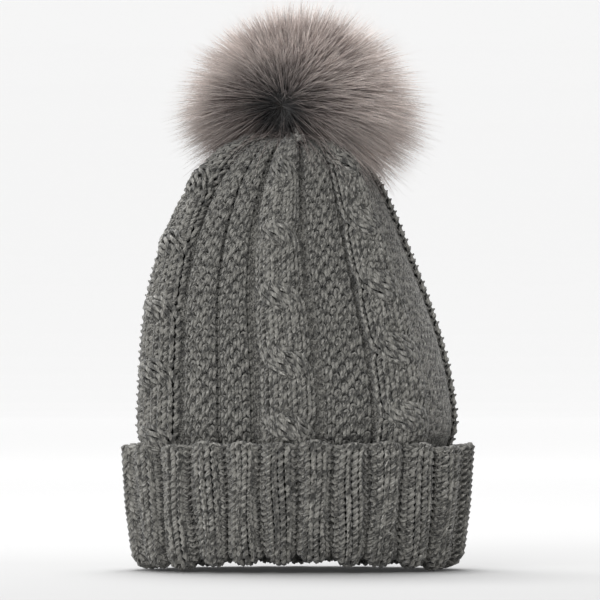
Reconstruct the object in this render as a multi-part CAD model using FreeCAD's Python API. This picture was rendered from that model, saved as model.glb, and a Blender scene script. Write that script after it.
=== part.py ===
import FreeCAD, Part
import math
import os

# Pom pom beanie, standing on its rim. Millimetres, +Z up through the crown, the front faces -Y, and
# the origin is the middle of the rim where it rests.

# --- Driving dimensions ------------------------------------------------------------------------------

# Knitted tube of the crown
CROWN_HEIGHT = 260.0        # rim to the top of the gathered crown
SHOULDER_HEIGHT = 88.0      # where the tube stops widening and the crown begins to round over
TUBE_HALF_WIDTH = 95.0      # side to side, at the shoulder
TUBE_HALF_DEPTH = 57.0      # front to back, at the shoulder
RIM_NARROWING = 5.5         # how much less each half measures at the rim
CROWN_WALL = 6.0            # thickness of the cable knit
CROWN_LEAN = 7.5            # sideways sag of the upper crown towards -X
GATHER_RADIUS = 8.0         # flat middle of the gathered top
GATHER_HOLE_RADIUS = 3.6    # hole that the last stitches leave

# Turned-up ribbed cuff
CUFF_HEIGHT = 78.0
CUFF_WALL = 10.0            # outside the crown tube
FOLD_HEIGHT = 7.0           # the fold below the crown tube's end
CUFF_EDGE_RADIUS = 5.0

# Back seam
SEAM_WIDTH = 3.0
SEAM_DEPTH = 2.4
SEAM_TOP_GAP = 16.0         # below the crown's top

# Yarn loops, knots and the button that hold the pom
YARN_RADIUS = 1.0
LOOP_HALF_SPACING = 1.8     # between a loop's two legs, halved
DRAW_RING_RADIUS = 6.2
DRAW_YARN_RADIUS = 1.4
DRAW_KNOT_RADIUS = 2.6
BUTTON_RADIUS = 9.0
BUTTON_THICKNESS = 3.0
BUTTON_SETTLE = 0.3         # left between the button and the domed inside of the gather
NECK_KNOT_RADIUS = 3.0
NECK_KNOT_LIFT = 4.2        # the neck knot's centre above the crown
END_KNOT_RADIUS = 3.8
END_KNOT_HEIGHT = 4.4
MOVING_GAP = 0.3            # between pieces that move apart
HOLE_CLEARANCE = 0.15       # round a loop's leg
BEND_CLEARANCE = 0.05       # between a loop's bend and the edges of the holes it bears on

# Pom
ANCHOR_RADIUS = 8.5
ANCHOR_THICKNESS = 2.0
BALL_RADIUS = 23.0          # the stuffed ball of backing cloth
BALL_HALF_HEIGHT = 20.0
BALL_LIFT = 3.0             # the ball's underside above the neck knot's centre
BACKING_THICKNESS = 1.5
NECK_HOLE_RADIUS = 5.5
GATHER_THREAD_RADIUS = 0.7
PILE_RADIUS = 72.0
PILE_TOP = 71.0             # above the neck knot's centre
PILE_WIDEST = 15.0          # height of the widest ring above the neck knot's centre
PILE_UNDERSIDE = 6.5        # height of the underside's outer edge above the neck knot's centre
PILE_EDGE_ROUNDING = 17.0   # how far in the round outer edge reaches
PILE_NECK_RISE = 2.2        # the underside's height at the neck

# Care label, inside the centre back
LABEL_WIDTH = 30.0
LABEL_LENGTH = 38.0
LABEL_THICKNESS = 1.2       # two layers of tape
LABEL_WALL_GAP = 0.5
LABEL_TOP_HEIGHT = 72.0
HEM_HEIGHT = 5.0
STITCH_COUNT = 6
STITCH_LENGTH = 3.2
STITCH_THICKNESS = 0.8

# --- Derived places ----------------------------------------------------------------------------------

TUBE_STATIONS = 5
DOME_STATIONS = 12
ROUNDNESS_AT_TOP = 4.0      # power with which the oval crown becomes round
LEAN_REACH = 1.3            # share of the crown's height over which the sag comes and goes


def lean_at(share):
    """Sideways place of the crown's middle: a squared sine of the height share above the shoulder."""
    return -CROWN_LEAN * math.sin(math.pi * share / LEAN_REACH) ** 2


TIE_X = lean_at(1.0)
PIVOT_Z = CROWN_HEIGHT + NECK_KNOT_LIFT
INNER_TOP_Z = CROWN_HEIGHT - CROWN_WALL
BUTTON_TOP_Z = INNER_TOP_Z - BUTTON_SETTLE
BUTTON_BOTTOM_Z = BUTTON_TOP_Z - BUTTON_THICKNESS
BALL_CENTRE_Z = PIVOT_Z + BALL_LIFT + BALL_HALF_HEIGHT
LOOP_END_Z = NECK_KNOT_RADIUS + MOVING_GAP + YARN_RADIUS + LOOP_HALF_SPACING
ANCHOR_BOTTOM_Z = PIVOT_Z + LOOP_END_Z + YARN_RADIUS
ANCHOR_TOP_Z = ANCHOR_BOTTOM_Z + ANCHOR_THICKNESS
BEND_INSIDE = LOOP_HALF_SPACING - YARN_RADIUS
ANCHOR_LOOP_TOP_Z = ANCHOR_TOP_Z - math.sqrt((BEND_INSIDE - BEND_CLEARANCE) ** 2
                                             - (BEND_INSIDE - HOLE_CLEARANCE) ** 2)
UP = FreeCAD.Vector(0, 0, 1)


# --- The knitted tube --------------------------------------------------------------------------------

def oval(centre_x, half_width, half_depth, z):
    """Closed oval wire at one height."""
    curve = Part.Ellipse(FreeCAD.Vector(centre_x, 0, z), half_width, half_depth)
    return Part.Wire([curve.toShape()])


def tube_section(z, inset):
    """Oval of the straight tube at height z, moved in by inset; below the rim it keeps its taper."""
    narrowing = RIM_NARROWING * (1 - z / SHOULDER_HEIGHT)
    return oval(0, TUBE_HALF_WIDTH - narrowing - inset, TUBE_HALF_DEPTH - narrowing - inset, z)


def dome_section(angle, inset):
    """Oval of the rounded crown. The half width is the 2/3 power of cos(angle) and the height share is
    the 4/3 power of sin(angle); inset is measured square to that outline."""
    rise = CROWN_HEIGHT - SHOULDER_HEIGHT
    share = math.sin(angle) ** (4 / 3)
    half_width = TUBE_HALF_WIDTH * math.cos(angle) ** (2 / 3)
    flatness = TUBE_HALF_DEPTH / TUBE_HALF_WIDTH
    roundness = flatness + (1 - flatness) * share ** ROUNDNESS_AT_TOP
    slope_width = -TUBE_HALF_WIDTH * (2 / 3) * math.cos(angle) ** (-1 / 3) * math.sin(angle)
    slope_height = rise * (4 / 3) * math.sin(angle) ** (1 / 3) * math.cos(angle)
    length = math.hypot(slope_width, slope_height)
    outward = slope_height / length
    upward = -slope_width / length
    return oval(lean_at(share), half_width - inset * outward, half_width * roundness - inset * outward,
                SHOULDER_HEIGHT + share * rise - inset * upward)


def crown_solid(inset, bottom):
    """Solid inside the crown's surface, moved in by inset, from height bottom to the gathered top."""
    last_angle = math.acos((GATHER_RADIUS / TUBE_HALF_WIDTH) ** 1.5)
    sections = []
    for step in range(TUBE_STATIONS):
        sections.append(tube_section(bottom + (SHOULDER_HEIGHT - bottom) * step / TUBE_STATIONS, inset))
    sections.append(tube_section(SHOULDER_HEIGHT, inset))
    for step in range(1, DOME_STATIONS + 1):
        sections.append(dome_section(last_angle * step / DOME_STATIONS, inset))
    return Part.makeLoft(sections, True, False)


def box(x_low, x_high, y_low, y_high, z_low, z_high):
    """Box between two corners."""
    return Part.makeBox(x_high - x_low, y_high - y_low, z_high - z_low,
                        FreeCAD.Vector(x_low, y_low, z_low))


def disc(radius, z_low, z_high):
    """Upright cylinder on the tie's axis."""
    return Part.makeCylinder(radius, z_high - z_low, FreeCAD.Vector(TIE_X, 0, z_low), UP)


crown_outside = crown_solid(0, FOLD_HEIGHT)
crown_inside = crown_solid(CROWN_WALL, -FOLD_HEIGHT)


def cuff_section(z):
    """Oval of the cuff's outside, drawn in over an arc at the fold and at the top edge."""
    edge = min(z, CUFF_HEIGHT - z)
    inset = 0.0
    if edge < CUFF_EDGE_RADIUS:
        inset = CUFF_EDGE_RADIUS - math.sqrt(CUFF_EDGE_RADIUS ** 2 - (CUFF_EDGE_RADIUS - edge) ** 2)
    return tube_section(z, inset - CUFF_WALL)


def cuff_outside():
    """Solid inside the cuff's outer surface, with close stations round its two edges."""
    edge_steps = [CUFF_EDGE_RADIUS * (1 - math.cos(math.pi / 2 * step / 4)) for step in range(5)]
    middle = CUFF_HEIGHT - 2 * CUFF_EDGE_RADIUS
    heights = list(edge_steps)
    heights += [CUFF_EDGE_RADIUS + middle * step / 5 for step in range(1, 5)]
    heights += [CUFF_HEIGHT - height for height in reversed(edge_steps)]
    return Part.makeLoft([cuff_section(height) for height in heights], True, False)


def back_seam():
    """Seam yarn at the centre back: in the inner face of the crown, and between crown and cuff."""
    half = SEAM_WIDTH / 2
    reach = TUBE_HALF_DEPTH + CUFF_WALL
    crown_part = crown_solid(CROWN_WALL - SEAM_DEPTH, -FOLD_HEIGHT).cut(crown_inside)
    crown_part = crown_part.common(box(-half, half, 0, reach, FOLD_HEIGHT, CROWN_HEIGHT - SEAM_TOP_GAP))
    cuff_part = crown_solid(-SEAM_DEPTH, -FOLD_HEIGHT).cut(crown_outside)
    cuff_part = cuff_part.common(box(-half, half, 0, reach, FOLD_HEIGHT, CUFF_HEIGHT - CUFF_EDGE_RADIUS))
    return Part.makeCompound([crown_part, cuff_part])


# --- Yarn loops, knots and the button ----------------------------------------------------------------

def yarn_loop(z_low, z_high, low_is_round, high_is_round):
    """Yarn bent round a half circle at one or both ends; its legs stand at z_low to z_high."""
    left = TIE_X - LOOP_HALF_SPACING
    right = TIE_X + LOOP_HALF_SPACING
    edges = [Part.LineSegment(FreeCAD.Vector(left, 0, z_low), FreeCAD.Vector(left, 0, z_high)).toShape()]
    if high_is_round:
        edges.append(Part.Arc(FreeCAD.Vector(left, 0, z_high),
                              FreeCAD.Vector(TIE_X, 0, z_high + LOOP_HALF_SPACING),
                              FreeCAD.Vector(right, 0, z_high)).toShape())
    edges.append(Part.LineSegment(FreeCAD.Vector(right, 0, z_high),
                                  FreeCAD.Vector(right, 0, z_low)).toShape())
    if low_is_round:
        edges.append(Part.Arc(FreeCAD.Vector(right, 0, z_low),
                              FreeCAD.Vector(TIE_X, 0, z_low - LOOP_HALF_SPACING),
                              FreeCAD.Vector(left, 0, z_low)).toShape())
    path = Part.Wire(edges)
    section = Part.Wire([Part.Circle(FreeCAD.Vector(left, 0, z_low), UP, YARN_RADIUS).toShape()])
    return path.makePipeShell([section], True, False)


def leg_holes(z_low, z_high):
    """The two clearance holes for a loop's legs."""
    radius = YARN_RADIUS + HOLE_CLEARANCE
    holes = []
    for side in (-1, 1):
        foot = FreeCAD.Vector(TIE_X + side * LOOP_HALF_SPACING, 0, z_low)
        holes.append(Part.makeCylinder(radius, z_high - z_low, foot, UP))
    return holes


def rounded_disc(radius, z_low, z_high):
    """Two-hole disc with softened rims."""
    plate = disc(radius, z_low, z_high)
    softening = (z_high - z_low) / 4
    plate = plate.makeFillet(softening, [edge for edge in plate.Edges if edge.Length > radius * 4])
    for hole in leg_holes(z_low, z_high):
        plate = plate.cut(hole)
    return plate


def spheroid(radius, half_height, z):
    """Solid of revolution of half an ellipse about the tie's axis, centred at height z."""
    centre = FreeCAD.Vector(TIE_X, 0, z)
    ball = Part.makeSphere(1.0)
    matrix = FreeCAD.Matrix()
    matrix.scale(FreeCAD.Vector(radius, radius, half_height))
    matrix.move(centre)
    return ball.transformGeometry(matrix)


def ring(ring_radius, yarn_radius, z):
    """Closed ring of yarn about the tie's axis."""
    return Part.makeTorus(ring_radius, yarn_radius, FreeCAD.Vector(TIE_X, 0, z), UP)


# --- The pom -----------------------------------------------------------------------------------------

def pile_outside():
    """Outline of the fur turned about the tie's axis: a half ellipse above the widest ring, a rounded
    edge below it, and a shallow cone in to the neck."""
    widest_z = PIVOT_Z + PILE_WIDEST
    edge_z = PIVOT_Z + PILE_UNDERSIDE
    neck_z = PIVOT_Z + PILE_NECK_RISE
    top_z = PIVOT_Z + PILE_TOP

    def point(radius, z):
        return FreeCAD.Vector(TIE_X + radius, 0, z)

    def quarter(centre_r, half_r, half_z, toward_top):
        """Smooth quarter ellipse from the widest ring to its flat end above or below."""
        steps = 8
        turns = [math.pi / 2 * step / steps for step in range(steps + 1)]
        spots = [point(centre_r + half_r * math.cos(turn), widest_z + half_z * math.sin(turn))
                 for turn in turns]
        curve = Part.BSplineCurve()
        curve.interpolate(spots, InitialTangent=FreeCAD.Vector(0, 0, toward_top),
                          FinalTangent=FreeCAD.Vector(-1, 0, 0))
        return curve.toShape()

    edge_r = PILE_RADIUS - PILE_EDGE_ROUNDING
    neck = point(NECK_HOLE_RADIUS, neck_z)
    axis_low = point(0, neck_z)
    edges = [quarter(0, PILE_RADIUS, top_z - widest_z, 1),
             quarter(edge_r, PILE_EDGE_ROUNDING, edge_z - widest_z, -1),
             Part.LineSegment(point(edge_r, edge_z), neck).toShape(),
             Part.LineSegment(neck, axis_low).toShape(),
             Part.LineSegment(axis_low, point(0, top_z)).toShape()]
    outline = Part.Wire(Part.__sortEdges__(edges))
    return Part.Face(outline).revolve(FreeCAD.Vector(TIE_X, 0, 0), UP, 360)


def make_nodes():
    """Every node's shape, in the order in which the hat is made."""
    nodes = {}
    gather_hole = disc(GATHER_HOLE_RADIUS, INNER_TOP_Z - CROWN_WALL, CROWN_HEIGHT + CROWN_WALL)
    seam = back_seam()
    draw_yarn = ring(DRAW_RING_RADIUS, DRAW_YARN_RADIUS, CROWN_HEIGHT - DRAW_YARN_RADIUS / 2)

    crown = crown_outside.cut(crown_inside).cut(gather_hole).cut(draw_yarn).cut(seam)
    cuff = cuff_outside().cut(crown_outside).cut(crown_inside).cut(seam)
    nodes["crown_knit"] = crown
    nodes["cuff_knit"] = cuff
    nodes["back_seam_yarn"] = seam
    nodes["crown_draw_yarn"] = draw_yarn

    knot_x = TIE_X + BUTTON_RADIUS + 2 * DRAW_KNOT_RADIUS
    draw_knot = Part.makeSphere(DRAW_KNOT_RADIUS, FreeCAD.Vector(knot_x, 0, INNER_TOP_Z - DRAW_KNOT_RADIUS))
    nodes["draw_yarn_knot"] = draw_knot.cut(crown)

    nodes["inside_button"] = rounded_disc(BUTTON_RADIUS, BUTTON_BOTTOM_Z, BUTTON_TOP_Z)
    button_tie = yarn_loop(BUTTON_BOTTOM_Z - END_KNOT_HEIGHT / 2, PIVOT_Z - LOOP_END_Z, False, True)
    nodes["button_tie_yarn"] = button_tie
    end_knot = spheroid(END_KNOT_RADIUS, END_KNOT_HEIGHT / 2, BUTTON_BOTTOM_Z - END_KNOT_HEIGHT / 2)
    nodes["tie_end_knot"] = end_knot.cut(button_tie)
    nodes["tie_neck_knot"] = Part.makeSphere(NECK_KNOT_RADIUS, FreeCAD.Vector(TIE_X, 0, PIVOT_Z))

    nodes["pom_anchor_disc"] = rounded_disc(ANCHOR_RADIUS, ANCHOR_BOTTOM_Z, ANCHOR_TOP_Z)
    nodes["pom_tie_loop"] = yarn_loop(PIVOT_Z + LOOP_END_Z, ANCHOR_LOOP_TOP_Z, True, True)

    ball = spheroid(BALL_RADIUS, BALL_HALF_HEIGHT, BALL_CENTRE_Z)
    hollow = spheroid(BALL_RADIUS - BACKING_THICKNESS, BALL_HALF_HEIGHT - BACKING_THICKNESS, BALL_CENTRE_Z)
    neck_low = PIVOT_Z + PILE_NECK_RISE
    neck_high = ANCHOR_BOTTOM_Z
    collar = disc(NECK_HOLE_RADIUS + BACKING_THICKNESS, neck_low, neck_high)
    passage = disc(NECK_HOLE_RADIUS, neck_low - CROWN_WALL, neck_high)
    backing = ball.fuse(collar.cut(hollow)).cut(hollow).cut(passage).removeSplitter()
    nodes["pom_backing"] = backing

    pocket = disc(ANCHOR_RADIUS + MOVING_GAP, ANCHOR_BOTTOM_Z - 2 * YARN_RADIUS,
                  ANCHOR_LOOP_TOP_Z + LOOP_HALF_SPACING + YARN_RADIUS + MOVING_GAP)
    nodes["pom_stuffing"] = hollow.cut(pocket).cut(passage)

    thread_ring = NECK_HOLE_RADIUS + BACKING_THICKNESS + GATHER_THREAD_RADIUS
    thread = ring(thread_ring, GATHER_THREAD_RADIUS, neck_low + 2 * GATHER_THREAD_RADIUS)
    nodes["pom_gather_thread"] = thread.cut(backing)
    bare_neck = disc(thread_ring + GATHER_THREAD_RADIUS, neck_low - CROWN_WALL, neck_high)
    nodes["pom_fur_pile"] = pile_outside().cut(ball).cut(bare_neck)

    flap_front = CROWN_WALL + LABEL_WALL_GAP + LABEL_THICKNESS
    half = LABEL_WIDTH / 2
    reach = TUBE_HALF_DEPTH
    front_surface = crown_solid(flap_front, -FOLD_HEIGHT)
    flap = crown_solid(CROWN_WALL + LABEL_WALL_GAP, -FOLD_HEIGHT).cut(front_surface)
    nodes["care_label"] = flap.common(box(-half, half, 0, reach, LABEL_TOP_HEIGHT - LABEL_LENGTH,
                                          LABEL_TOP_HEIGHT - MOVING_GAP))
    hem_top = LABEL_TOP_HEIGHT + HEM_HEIGHT
    hem = crown_inside.cut(front_surface)
    nodes["label_hem"] = hem.common(box(-half, half, 0, reach, LABEL_TOP_HEIGHT, hem_top))
    thread_layer = front_surface.cut(crown_solid(flap_front + STITCH_THICKNESS, -FOLD_HEIGHT))
    pitch = LABEL_WIDTH / STITCH_COUNT
    stitch_low = LABEL_TOP_HEIGHT + HEM_HEIGHT / 2 - STITCH_THICKNESS / 2
    stitches = []
    for index in range(STITCH_COUNT):
        middle = (index - (STITCH_COUNT - 1) / 2) * pitch
        bar = box(middle - STITCH_LENGTH / 2, middle + STITCH_LENGTH / 2, 0, reach,
                  stitch_low, stitch_low + STITCH_THICKNESS)
        stitches.append(thread_layer.common(bar))
    nodes["label_stitches"] = Part.makeCompound(stitches)
    return nodes


def export(nodes):
    """Writes one STEP file for each node, and prints its solids and volume."""
    os.makedirs("parts", exist_ok=True)
    for name, shape in nodes.items():
        solids = shape.Solids
        if not solids or not shape.isValid():
            raise ValueError("bad shape: " + name)
        result = solids[0] if len(solids) == 1 else Part.makeCompound(solids)
        result.exportStep(os.path.join("parts", name + ".step"))
        print("%-20s %2d solids %12.1f mm3" % (name, len(solids), result.Volume))


export(make_nodes())
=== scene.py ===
import bpy
import numpy as np
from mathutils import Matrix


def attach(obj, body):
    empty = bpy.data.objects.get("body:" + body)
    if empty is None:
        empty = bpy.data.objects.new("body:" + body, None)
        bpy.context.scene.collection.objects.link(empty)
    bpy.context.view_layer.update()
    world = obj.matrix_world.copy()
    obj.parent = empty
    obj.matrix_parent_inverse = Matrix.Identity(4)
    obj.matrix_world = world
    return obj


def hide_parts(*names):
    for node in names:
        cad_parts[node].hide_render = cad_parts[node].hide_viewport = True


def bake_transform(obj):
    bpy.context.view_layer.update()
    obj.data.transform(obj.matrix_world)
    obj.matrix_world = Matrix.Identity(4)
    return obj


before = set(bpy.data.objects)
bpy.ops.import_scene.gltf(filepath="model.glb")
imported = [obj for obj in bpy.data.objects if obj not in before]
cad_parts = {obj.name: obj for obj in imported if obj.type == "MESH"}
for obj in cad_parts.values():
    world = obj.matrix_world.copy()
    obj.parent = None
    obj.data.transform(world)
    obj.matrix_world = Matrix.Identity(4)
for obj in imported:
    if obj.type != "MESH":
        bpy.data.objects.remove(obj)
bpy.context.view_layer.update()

# --- Camera ------------------------------------------------------------------------------------------
# A long lens four metres off, square to the front of the hat and level with its middle. It takes in
# 0.36 m across at the hat.
VIEW_DISTANCE = 4.0
VIEW_WIDTH = 0.36
VIEW_MIDDLE = (0.0012, 0.162)
FILM_WIDTH = 36.0

camera_data = bpy.data.cameras.new("front_camera")
camera_data.sensor_width = FILM_WIDTH
camera_data.lens = FILM_WIDTH * VIEW_DISTANCE / VIEW_WIDTH
camera_data.clip_end = 50
camera = bpy.data.objects.new("front_camera", camera_data)
camera.location = (VIEW_MIDDLE[0], -VIEW_DISTANCE, VIEW_MIDDLE[1])
camera.rotation_euler = (np.pi / 2, 0, 0)
bpy.context.scene.collection.objects.link(camera)
bpy.context.scene.camera = camera

# --- Yarn --------------------------------------------------------------------------------------------
# The chunky yarn of crown, cuff, seam and draw thread: a soft-spun wool blend of two plies, one grey
# and one paler, flecked with light fibres. It is matt, fuzzy, and dark in the gaps between its loops,
# where the fabric behind is painted in shade; painted shade also darkens the grooves between its plies.
YARN_DARK = (0.038, 0.037, 0.033)
YARN_LIGHT = (0.345, 0.336, 0.306)
YARN_FLECK = (0.74, 0.72, 0.67)
PLY_TURN = 0.0085


def srgb_mix(tree, kind, factor, first, second):
    """Mixes two colours in the tree by a blend kind; factor, first and second may be sockets or values."""
    node = tree.nodes.new("ShaderNodeMix")
    node.data_type = "RGBA"
    node.blend_type = kind
    for socket, value in ((node.inputs[0], factor), (node.inputs[6], first), (node.inputs[7], second)):
        if isinstance(value, bpy.types.NodeSocket):
            tree.links.new(value, socket)
        elif isinstance(value, tuple):
            socket.default_value = (*value, 1)
        else:
            socket.default_value = value
    return node.outputs[2]


def noise(tree, vector, scale, detail=3.0):
    """Smooth noise of so many lumps per metre, as a number about 0.5."""
    node = tree.nodes.new("ShaderNodeTexNoise")
    node.inputs["Scale"].default_value = scale
    node.inputs["Detail"].default_value = detail
    tree.links.new(vector, node.inputs["Vector"])
    return node.outputs["Fac"]


def ramp(tree, value, low, high, out_low=0.0, out_high=1.0):
    """Straight-line change of a number from the span low..high to out_low..out_high, held at its ends."""
    node = tree.nodes.new("ShaderNodeMapRange")
    for place, number in zip((1, 2, 3, 4), (low, high, out_low, out_high)):
        node.inputs[place].default_value = number
    tree.links.new(value, node.inputs[0])
    return node.outputs[0]


def math(tree, kind, first, second=0.0):
    """One sum on two numbers or sockets."""
    node = tree.nodes.new("ShaderNodeMath")
    node.operation = kind
    for socket, value in zip(node.inputs, (first, second)):
        if isinstance(value, bpy.types.NodeSocket):
            tree.links.new(value, socket)
        else:
            socket.default_value = value
    return node.outputs[0]


def new_material(name, roughness, sheen=0.0):
    """A plain matt material; returns it with its tree, shader and Object coordinates."""
    material = bpy.data.materials.new(name)
    material.use_nodes = True
    tree = material.node_tree
    shader = tree.nodes["Principled BSDF"]
    shader.inputs["Roughness"].default_value = roughness
    shader.inputs["Specular IOR Level"].default_value = 0.25
    shader.inputs["Sheen Weight"].default_value = sheen
    shader.inputs["Sheen Roughness"].default_value = 0.6
    place = tree.nodes.new("ShaderNodeTexCoord").outputs["Object"]
    return material, tree, shader, place


def bump(tree, shader, height, depth):
    """Bump of so many metres from a height number of 0 to 1."""
    node = tree.nodes.new("ShaderNodeBump")
    node.inputs["Distance"].default_value = depth
    tree.links.new(height, node.inputs["Height"])
    tree.links.new(node.outputs["Normal"], shader.inputs["Normal"])


def plied_yarn(name, dark, light, fleck, plies=2):
    """Twisted yarn: a stripe that winds round it once a turn for each ply, from the piece's ply map (turns
    along it, turns round it), which darkens its grooves as painted shade and gives its bump, with heathered
    patches, pale flecks and fibres laid along the twist."""
    material, tree, shader, place = new_material(name, 0.9, sheen=0.35)
    ply_map = tree.nodes.new("ShaderNodeUVMap")
    ply_map.uv_map = "ply"
    split = tree.nodes.new("ShaderNodeSeparateXYZ")
    tree.links.new(ply_map.outputs["UV"], split.inputs[0])
    turns = math(tree, "ADD", math(tree, "MULTIPLY", split.outputs[0], plies),
                 math(tree, "MULTIPLY", split.outputs[1], plies))
    wave = math(tree, "SINE", math(tree, "MULTIPLY", turns, 2 * np.pi))
    half_wave = math(tree, "SINE", math(tree, "MULTIPLY", turns, 2 * np.pi / plies))
    patches = noise(tree, place, 210, 3)
    laid = tree.nodes.new("ShaderNodeCombineXYZ")
    tree.links.new(math(tree, "MULTIPLY", split.outputs[0], 3.2), laid.inputs[0])
    slant = math(tree, "ADD", split.outputs[0], split.outputs[1])
    tree.links.new(math(tree, "MULTIPLY", slant, 9.0), laid.inputs[1])
    tree.links.new(math(tree, "MULTIPLY", patches, 6.0), laid.inputs[2])
    fibres = noise(tree, laid.outputs[0], 1.0, 3)
    heather = math(tree, "ADD", math(tree, "MULTIPLY", patches, 0.35), math(tree, "MULTIPLY", fibres, 0.65))
    marl = math(tree, "ADD", math(tree, "MULTIPLY", half_wave, 0.08), heather)
    colour = srgb_mix(tree, "MIX", ramp(tree, marl, 0.40, 0.60), dark, light)
    colour = srgb_mix(tree, "MIX", ramp(tree, fibres, 0.60, 0.70, 0, 0.8), colour, fleck)
    # Painted shade: the colour is darkened in the grooves between the plies, where the twist would shade it.
    ply_groove_painted_shade = ramp(tree, wave, -1, -0.3, 0.4, 0.0)
    colour = srgb_mix(tree, "MULTIPLY", ply_groove_painted_shade, colour, (0.3, 0.29, 0.27))
    tree.links.new(colour, shader.inputs["Base Color"])
    height = math(tree, "ADD", math(tree, "MULTIPLY", wave, 0.2), math(tree, "MULTIPLY", fibres, 1.2))
    bump(tree, shader, height, 0.0007)
    return material


knit_yarn = plied_yarn("grey_marl_yarn", YARN_DARK, YARN_LIGHT, YARN_FLECK)


def add_piece(name, points, polygons, material, body, replaces=(), slot=None):
    """A smooth mesh piece from points (n, 3) and a list of face arrays (faces, corners), with its material,
    body (none where it bends between two) and CAD nodes; slot is not used."""
    mesh = bpy.data.meshes.new(name)
    sizes = np.concatenate([np.full(len(faces), faces.shape[1]) for faces in polygons])
    corners = np.concatenate([faces.ravel() for faces in polygons])
    mesh.vertices.add(len(points))
    mesh.vertices.foreach_set("co", points.astype(np.float32).ravel())
    mesh.loops.add(len(corners))
    mesh.loops.foreach_set("vertex_index", corners.astype(np.int32))
    mesh.polygons.add(len(sizes))
    mesh.polygons.foreach_set("loop_start", (np.cumsum(sizes) - sizes).astype(np.int32))
    mesh.polygons.foreach_set("use_smooth", np.ones(len(sizes), bool))
    mesh.update(calc_edges=True)
    mesh.materials.append(material)
    piece = bpy.data.objects.new(name, mesh)
    bpy.context.scene.collection.objects.link(piece)
    if body:
        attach(piece, body)
    if replaces:
        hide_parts(*replaces)
    return piece


def add_map(piece, name, values):
    """A UV map of the piece from one (u, v) pair for each face corner."""
    layer = piece.data.uv_layers.new(name=name)
    layer.data.foreach_set("uv", values.astype(np.float32).ravel())


def tube_rings(path, radius, outward, sides):
    """Rings of points round each path: cos times the side direction plus sin times the outward one. path
    and outward are (paths, points, 3); radius is (paths, points)."""
    along = np.gradient(path, axis=1)
    along /= np.linalg.norm(along, axis=2, keepdims=True) + 1e-12
    side = np.cross(along, outward)
    side /= np.linalg.norm(side, axis=2, keepdims=True) + 1e-12
    up = np.cross(side, along)
    turn = np.linspace(0, 2 * np.pi, sides, endpoint=False)
    ring = side[:, :, None] * np.cos(turn)[:, None] + up[:, :, None] * np.sin(turn)[:, None]
    return path[:, :, None] + ring * radius[:, :, None, None]


def tube_faces(paths, points, sides):
    """Four-cornered faces of closed tubes, then the caps of their starts and their ends; and for the
    corners of each, their place along, their place round and their tube."""
    path, step, side = np.meshgrid(np.arange(paths), np.arange(points - 1), np.arange(sides), indexing="ij")
    base = path * points * sides
    after = (side + 1) % sides
    walls = np.stack([base + step * sides + side, base + (step + 1) * sides + side,
                      base + (step + 1) * sides + after, base + step * sides + after], -1)
    along = np.stack([step, step + 1, step + 1, step], -1)
    around = np.stack([side, side, side + 1, side + 1], -1)
    which = np.repeat(path[..., None], 4, -1)
    rim = np.arange(sides)
    starts = np.arange(paths)[:, None] * points * sides + rim
    ends = starts[:, ::-1] + (points - 1) * sides
    tubes = np.repeat(np.arange(paths)[:, None], sides, 1)
    return ([walls.reshape(-1, 4), starts, ends], along.ravel(), around.ravel(), which.ravel(),
            np.tile(rim, paths), np.tile(rim[::-1], paths), tubes.ravel())


def add_yarns(name, paths, radii, outwards, material, body, sides=5, **fixing):
    """One piece of many yarns, each a closed tube. Its bake map gives every yarn a strip of its own, with
    the two caps at the strip's ends; its ply map counts turns of the twist along the yarn and round it."""
    points, walls, caps, bake, cap_bake, ply, cap_ply = [], [], [], [], [], [], []
    strips = sum(len(path) for path in paths)
    start = 0
    strip = 0
    for path, radius, outward in zip(paths, radii, outwards):
        count, length = path.shape[:2]
        rings = tube_rings(path, radius, outward, sides)
        run = np.zeros((count, length))
        run[:, 1:] = np.cumsum(np.linalg.norm(np.diff(path, axis=1), axis=2), axis=1)
        polygons, along, around, which, first_rim, last_rim, tubes = tube_faces(count, length, sides)
        points.append(rings.reshape(-1, 3))
        walls.append(polygons[0] + start)
        caps += [polygons[1] + start, polygons[2] + start]
        bake.append(np.stack([0.02 + 0.96 * along / (length - 1),
                              (strip + which + 0.08 + 0.84 * around / sides) / strips], -1))
        ply.append(np.stack([run[which, along] / PLY_TURN, around / sides], -1))
        for rim, middle in ((first_rim, 0.009), (last_rim, 0.991)):
            turn = 2 * np.pi * rim / sides
            cap_bake.append(np.stack([middle + 0.008 * np.cos(turn),
                                      (strip + tubes + 0.5 + 0.4 * np.sin(turn)) / strips], -1))
            cap_ply.append(np.stack([0 * turn, rim / sides], -1))
        start += rings.size // 3
        strip += count
    piece = add_piece(name, np.concatenate(points), [np.concatenate(walls)] + caps, material, body, **fixing)
    add_map(piece, "OFBake", np.concatenate(bake + cap_bake))
    add_map(piece, "ply", np.concatenate(ply + cap_ply))
    return piece


# --- Crown -------------------------------------------------------------------------------------------
# The hat's body: one tube of aran knitting in cables, moss bands and purl channels, worked from the
# fold up to the gathered top, where it narrows as it is drawn in. It leans a little to one side.
SHOULDER_HEIGHT = 0.088
CROWN_RISE = 0.172
HALF_WIDTH = 0.095
HALF_DEPTH = 0.057
RIM_NARROWING = 0.0055
CROWN_LEAN = 0.0075
GATHER_RADIUS = 0.008
TABLE_SIZE = 1601

oval_turn = np.linspace(0, 2 * np.pi, TABLE_SIZE)
oval_step = np.hypot(np.diff(HALF_WIDTH * np.sin(oval_turn)), np.diff(HALF_DEPTH * np.cos(oval_turn)))
oval_arc = np.concatenate([[0], np.cumsum(oval_step)])
ROUND = oval_arc[-1]

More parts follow.
